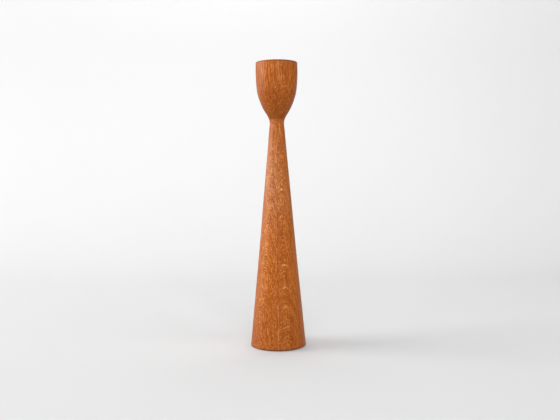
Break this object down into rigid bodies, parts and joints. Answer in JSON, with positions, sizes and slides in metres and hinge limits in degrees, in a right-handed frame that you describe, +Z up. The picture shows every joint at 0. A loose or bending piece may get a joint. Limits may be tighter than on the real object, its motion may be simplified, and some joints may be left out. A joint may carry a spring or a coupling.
{
  "type": "candlestick",
  "caption": "Turned teak candlestick: slender tapered stem glued up from boards, tulip candle cup dowelled on at a thin neck, lift-out brass liner for a taper candle, felt under the foot.",
  "frame": {"origin": "centre of the foot, on the surface the candlestick stands on (underside of the felt pad)", "axes": "+Z up along the turning axis and out of the candle socket; -Y the front, the side on which the stem's glue line shows; +X to the viewer's right. The stem's two boards meet on the YZ plane."},
  "size_m": [0.049, 0.049, 0.25],
  "materials": {
    "stem_teak": "oiled teak, fine sanded, satin, with cathedral arches on one board and slanting streaks on the other",
    "cup_teak": "oiled teak, fine sanded, satin, straight fine grain",
    "dowel_beech": "bare beech, fluted dowel stock",
    "liner_brass": "spun brass, satin, lightly aged",
    "pad_felt": "pressed wool felt, dark green"
  },
  "bodies": {
    "stand": {"stem_left_half": "stem_teak", "stem_right_half": "stem_teak", "candle_cup": "cup_teak", "neck_dowel": "dowel_beech", "base_felt": "pad_felt"},
    "liner": {"candle_liner": "liner_brass"}
  },
  "joints": [
    {"name": "liner_lift", "type": "slide", "parent": "stand", "child": "liner", "axis": [0, 0, 1], "range_m": [0, 0.035]}
  ]
}
